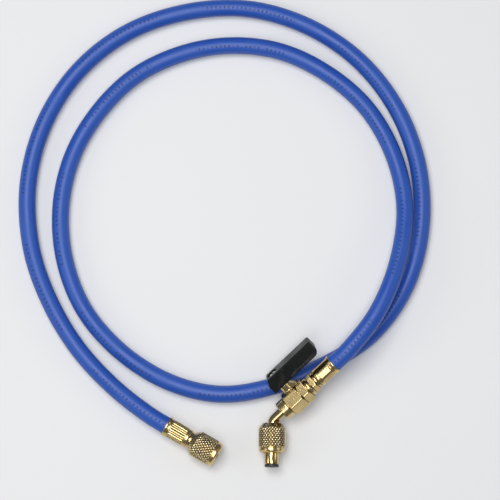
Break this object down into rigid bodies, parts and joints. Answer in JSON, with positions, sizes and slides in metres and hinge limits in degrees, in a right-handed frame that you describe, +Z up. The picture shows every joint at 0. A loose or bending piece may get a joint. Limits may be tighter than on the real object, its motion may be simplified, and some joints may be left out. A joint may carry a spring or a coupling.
{
  "type": "refrigerant charging hose",
  "caption": "Flexible rubber hose with crimped brass fittings, knurled flare nuts and a quarter-turn shut-off valve, for carrying refrigerant to a service port.",
  "frame": {"origin": "on the floor, under the middle of the box around the two sets of fittings, the hose left out", "axes": "+Z up; the loops of hose lie towards +Y; both fittings point towards -Y, the straight one to +X as well"},
  "size_m": [0.2658, 0.3049, 0.0329],
  "materials": {
    "brass": "bright turned and knurled, slightly tarnished",
    "hose": "smooth blue, satin",
    "lever": "moulded black nylon, fine texture",
    "gasket": "smooth black",
    "seat": "white fluoropolymer",
    "steel": "nickel bright"
  },
  "bodies": {
    "base": {"hose": "hose", "straight_ferrule": "brass", "straight_stem": "brass", "straight_gasket": "gasket", "valve_ferrule": "brass", "hose_tail": "brass", "valve_end_cap": "brass", "valve_body": "brass", "rear_seat": "seat", "front_seat": "seat", "elbow_nipple": "brass", "valve_gasket": "gasket", "depressor": "steel"},
    "lever": {"lever": "lever", "valve_spindle": "brass", "valve_ball": "steel", "lever_screw": "steel"},
    "straight_nut": {"straight_nut": "brass"},
    "valve_nut": {"valve_nut": "brass"}
  },
  "joints": [
    {"name": "lever_turn", "type": "hinge", "parent": "base", "child": "lever", "pos_m": [0.02027, 0.01218, 0.01846], "axis": [0.6904, -0.6416, -0.3343], "range_deg": [0, 90]},
    {"name": "straight_nut_spin", "type": "hinge", "parent": "base", "child": "straight_nut", "pos_m": [-0.02925, -0.0282, 0.00874], "axis": [0.8611, -0.5072, 0.0349], "continuous": true},
    {"name": "valve_nut_spin", "type": "hinge", "parent": "base", "child": "valve_nut", "pos_m": [0.01353, -0.02176, 0.00968], "axis": [-0.0171, -0.9995, 0.0269], "continuous": true}
  ]
}
